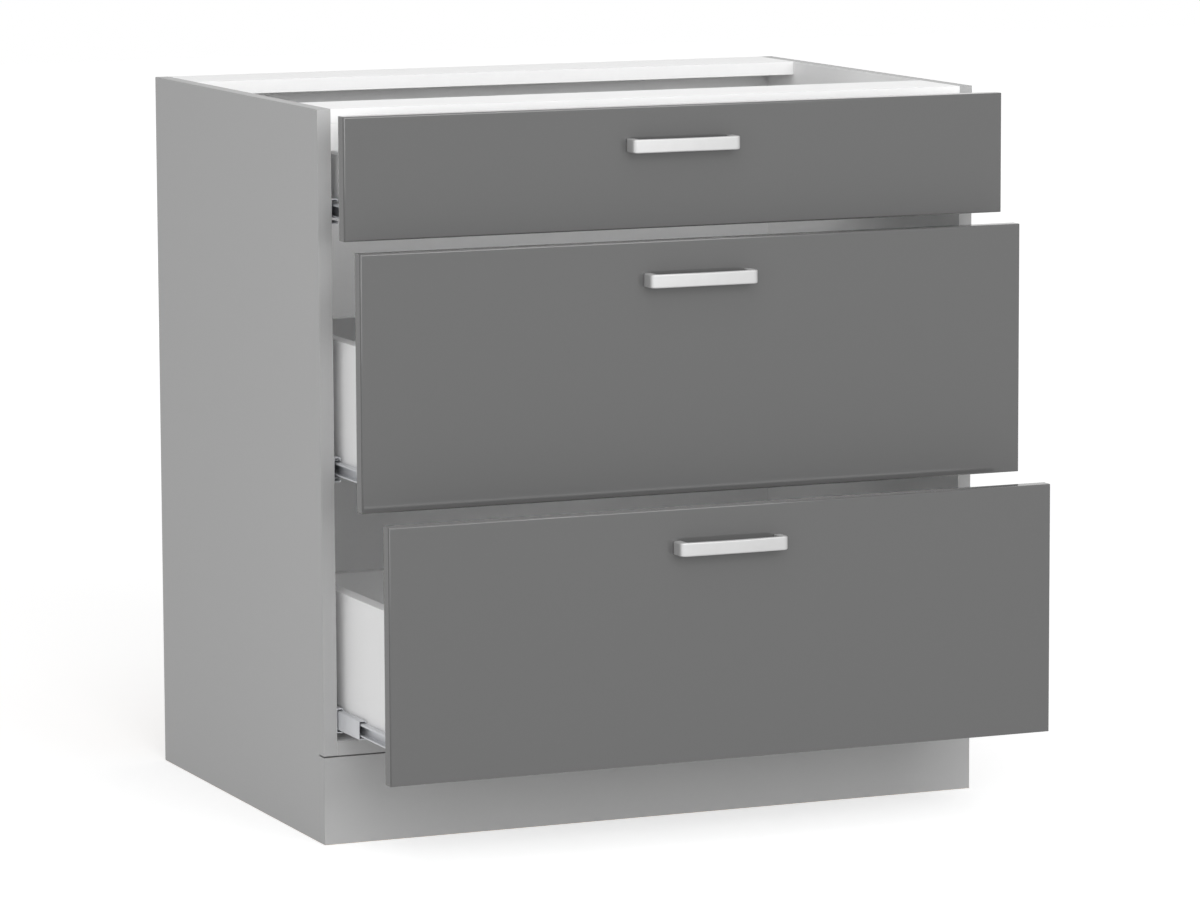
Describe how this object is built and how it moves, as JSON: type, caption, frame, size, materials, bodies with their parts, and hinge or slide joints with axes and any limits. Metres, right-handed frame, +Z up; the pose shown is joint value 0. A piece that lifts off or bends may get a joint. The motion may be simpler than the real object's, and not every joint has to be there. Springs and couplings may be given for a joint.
{
  "type": "kitchen base cabinet",
  "caption": "Kitchen base cabinet with stacked drawers, low over deep, which slide on ball-bearing telescopic runners and open by bow handles.",
  "frame": {"origin": "on the floor, under the middle of the box round the whole object with its drawers at rest", "axes": "+X towards the right-hand side panel, +Y from the drawer fronts towards the back, +Z up"},
  "size_m": [0.8, 0.7785, 0.82],
  "materials": {
    "white_board": "white laminated chipboard, matt",
    "grey_board": "light grey laminated chipboard, matt; the side panels are white on their inner faces",
    "grey_front": "grey laminated board, satin",
    "hardboard": "thin white-faced fibreboard",
    "beech": "fluted beech dowel",
    "runner_steel": "zinc-plated cold-rolled sheet",
    "steel": "zinc-plated",
    "zinc": "die-cast zinc",
    "satin_nickel": "satin nickel"
  },
  "bodies": {
    "carcass": {"side_panel_left": "grey_board", "side_panel_right": "grey_board", "bottom_panel": "white_board", "front_rail": "white_board", "front_apron": "white_board", "back_rail": "white_board", "back_panel": "hardboard", "plinth": "grey_board", "carcass_dowels": "beech", "cabinet_runner_screws": "steel", "upper_cabinet_runner_left": "runner_steel", "upper_cabinet_runner_right": "runner_steel", "centre_cabinet_runner_left": "runner_steel", "centre_cabinet_runner_right": "runner_steel", "lower_cabinet_runner_left": "runner_steel", "lower_cabinet_runner_right": "runner_steel"},
    "upper_drawer": {"upper_drawer_front": "grey_front", "upper_handle": "satin_nickel", "upper_drawer_dowels": "beech", "upper_drawer_side_left": "white_board", "upper_drawer_side_right": "white_board", "upper_drawer_back": "white_board", "upper_drawer_base": "hardboard", "upper_drawer_runner_left": "runner_steel", "upper_drawer_runner_right": "runner_steel", "upper_drawer_screws": "steel", "upper_front_fittings": "zinc"},
    "upper_middle": {"upper_middle_runners": "runner_steel"},
    "upper_outer_balls": {"upper_outer_cages": "runner_steel"},
    "upper_inner_balls": {"upper_inner_cages": "runner_steel"},
    "centre_drawer": {"centre_drawer_front": "grey_front", "centre_handle": "satin_nickel", "centre_drawer_dowels": "beech", "centre_drawer_side_left": "white_board", "centre_drawer_side_right": "white_board", "centre_drawer_back": "white_board", "centre_drawer_base": "hardboard", "centre_drawer_runner_left": "runner_steel", "centre_drawer_runner_right": "runner_steel", "centre_drawer_screws": "steel", "centre_front_fittings": "zinc"},
    "centre_middle": {"centre_middle_runners": "runner_steel"},
    "centre_outer_balls": {"centre_outer_cages": "runner_steel"},
    "centre_inner_balls": {"centre_inner_cages": "runner_steel"},
    "lower_drawer": {"lower_drawer_front": "grey_front", "lower_handle": "satin_nickel", "lower_drawer_dowels": "beech", "lower_drawer_side_left": "white_board", "lower_drawer_side_right": "white_board", "lower_drawer_back": "white_board", "lower_drawer_base": "hardboard", "lower_drawer_runner_left": "runner_steel", "lower_drawer_runner_right": "runner_steel", "lower_drawer_screws": "steel", "lower_front_fittings": "zinc"},
    "lower_middle": {"lower_middle_runners": "runner_steel"},
    "lower_outer_balls": {"lower_outer_cages": "runner_steel"},
    "lower_inner_balls": {"lower_inner_cages": "runner_steel"}
  },
  "joints": [
    {"name": "upper_drawer_slide", "type": "slide", "parent": "carcass", "child": "upper_drawer", "axis": [0, -1, 0], "range_m": [-0.06, 0.29]},
    {"name": "upper_middle_slide", "type": "slide", "parent": "carcass", "child": "upper_middle", "axis": [0, -1, 0], "range_m": [-0.03, 0.145]},
    {"name": "upper_outer_balls_slide", "type": "slide", "parent": "carcass", "child": "upper_outer_balls", "axis": [0, -1, 0], "range_m": [-0.015, 0.0725]},
    {"name": "upper_inner_balls_slide", "type": "slide", "parent": "carcass", "child": "upper_inner_balls", "axis": [0, -1, 0], "range_m": [-0.045, 0.2175]},
    {"name": "centre_drawer_slide", "type": "slide", "parent": "carcass", "child": "centre_drawer", "axis": [0, -1, 0], "range_m": [-0.107, 0.243]},
    {"name": "centre_middle_slide", "type": "slide", "parent": "carcass", "child": "centre_middle", "axis": [0, -1, 0], "range_m": [-0.0535, 0.1215]},
    {"name": "centre_outer_balls_slide", "type": "slide", "parent": "carcass", "child": "centre_outer_balls", "axis": [0, -1, 0], "range_m": [-0.02675, 0.06075]},
    {"name": "centre_inner_balls_slide", "type": "slide", "parent": "carcass", "child": "centre_inner_balls", "axis": [0, -1, 0], "range_m": [-0.08025, 0.18225]},
    {"name": "lower_drawer_slide", "type": "slide", "parent": "carcass", "child": "lower_drawer", "axis": [0, -1, 0], "range_m": [-0.186, 0.164]},
    {"name": "lower_middle_slide", "type": "slide", "parent": "carcass", "child": "lower_middle", "axis": [0, -1, 0], "range_m": [-0.093, 0.082]},
    {"name": "lower_outer_balls_slide", "type": "slide", "parent": "carcass", "child": "lower_outer_balls", "axis": [0, -1, 0], "range_m": [-0.0465, 0.041]},
    {"name": "lower_inner_balls_slide", "type": "slide", "parent": "carcass", "child": "lower_inner_balls", "axis": [0, -1, 0], "range_m": [-0.1395, 0.123]}
  ],
  "couplings": [
    {"joint": "upper_middle_slide", "follows": "upper_drawer_slide", "ratio": 0.5},
    {"joint": "upper_outer_balls_slide", "follows": "upper_drawer_slide", "ratio": 0.25},
    {"joint": "upper_inner_balls_slide", "follows": "upper_drawer_slide", "ratio": 0.75},
    {"joint": "centre_middle_slide", "follows": "centre_drawer_slide", "ratio": 0.5},
    {"joint": "centre_outer_balls_slide", "follows": "centre_drawer_slide", "ratio": 0.25},
    {"joint": "centre_inner_balls_slide", "follows": "centre_drawer_slide", "ratio": 0.75},
    {"joint": "lower_middle_slide", "follows": "lower_drawer_slide", "ratio": 0.5},
    {"joint": "lower_outer_balls_slide", "follows": "lower_drawer_slide", "ratio": 0.25},
    {"joint": "lower_inner_balls_slide", "follows": "lower_drawer_slide", "ratio": 0.75}
  ]
}
